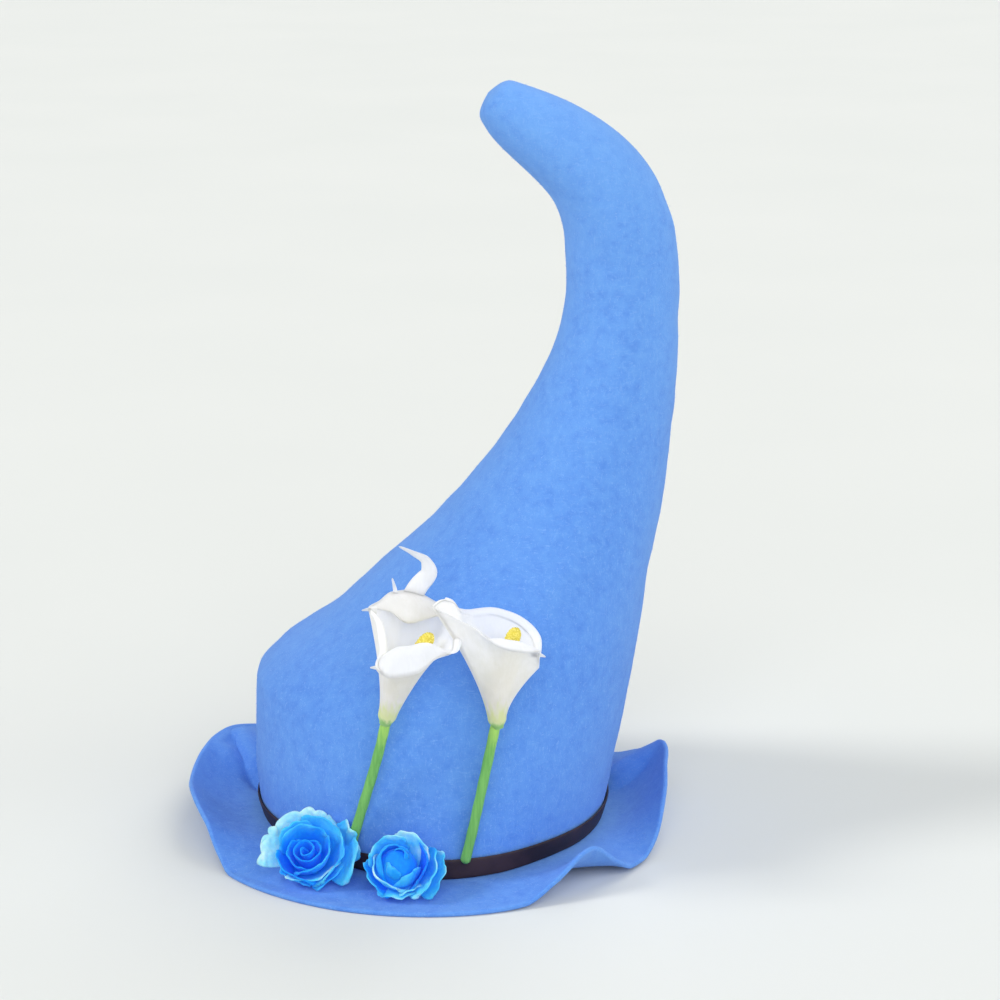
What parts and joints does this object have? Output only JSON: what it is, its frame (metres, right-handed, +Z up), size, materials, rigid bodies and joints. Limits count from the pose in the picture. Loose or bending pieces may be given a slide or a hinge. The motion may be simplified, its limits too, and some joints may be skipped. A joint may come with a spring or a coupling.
{
  "type": "wizard hat",
  "caption": "Blue felt wizard hat with a bent tip, a waved brim, a dark band, white calla lilies and blue cloth roses.",
  "frame": {"origin": "on the floor under the brim, at the middle of the hat's box in plan", "axes": "facing the trimmed side, +X is to the right and +Y is away from the eye; +Z is up, from the brim to the tip"},
  "size_m": [0.2454, 0.268, 0.3726],
  "materials": {
    "felt": "mottled wool felt",
    "band": "smooth, near black",
    "rose": "azure cloth petals, paler at their edges",
    "stem": "matte green coating",
    "blossom": "soft white foam, greenish at its seat",
    "spadix": "grainy yellow"
  },
  "bodies": {
    "root": {"crown": "felt", "brim": "felt", "hat_band": "band", "rose_left": "rose", "rose_right": "rose", "lily_left_stem": "stem", "lily_left_spathe": "blossom", "lily_left_spadix": "spadix", "lily_right_stem": "stem", "lily_right_spathe": "blossom", "lily_right_spadix": "spadix"}
  },
  "joints": []
}
